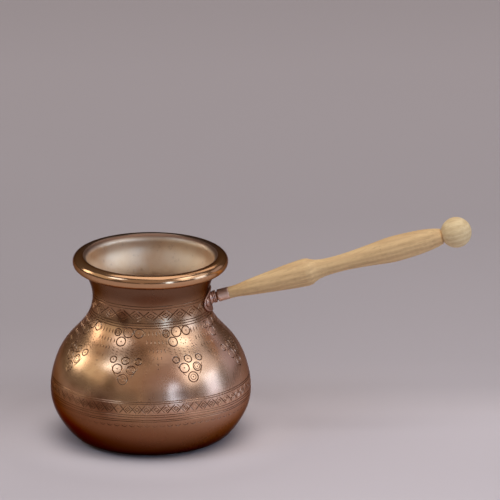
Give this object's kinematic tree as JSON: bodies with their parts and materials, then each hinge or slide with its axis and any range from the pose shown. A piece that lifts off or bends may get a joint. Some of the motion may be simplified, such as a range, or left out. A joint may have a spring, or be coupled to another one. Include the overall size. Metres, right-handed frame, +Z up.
{
  "type": "turkish coffee pot",
  "caption": "Long-handled copper coffee pot (cezve) with round belly, narrow neck, rolled rim, tinned inside and turned wooden handle.",
  "frame": {"origin": "centre of the flat underside, on the pot's axis", "axes": "+Z up along the pot's axis, +X towards the handle, +Y to its left"},
  "size_m": [0.253, 0.1206, 0.1364],
  "materials": {
    "copper": "polished raised copper, lightly browned, with engraved bands",
    "tin": "wiped tin, satin, slightly cloudy",
    "iron_wire": "plain drawn wire, hidden",
    "fitting_copper": "browned copper, satin",
    "steel": "plain drawn rod",
    "grip_wood": "turned, unvarnished, fine long grain",
    "ball_wood": "turned, unvarnished, end grain at the pole"
  },
  "bodies": {
    "root": {"pot_body": "copper", "tin_lining": "tin", "rim_wire": "iron_wire", "handle_plate": "fitting_copper", "plate_rivets": "fitting_copper", "handle_stem": "fitting_copper", "handle_tang": "steel", "ferrule": "fitting_copper", "handle_grip": "grip_wood", "handle_ball": "ball_wood"}
  },
  "joints": []
}
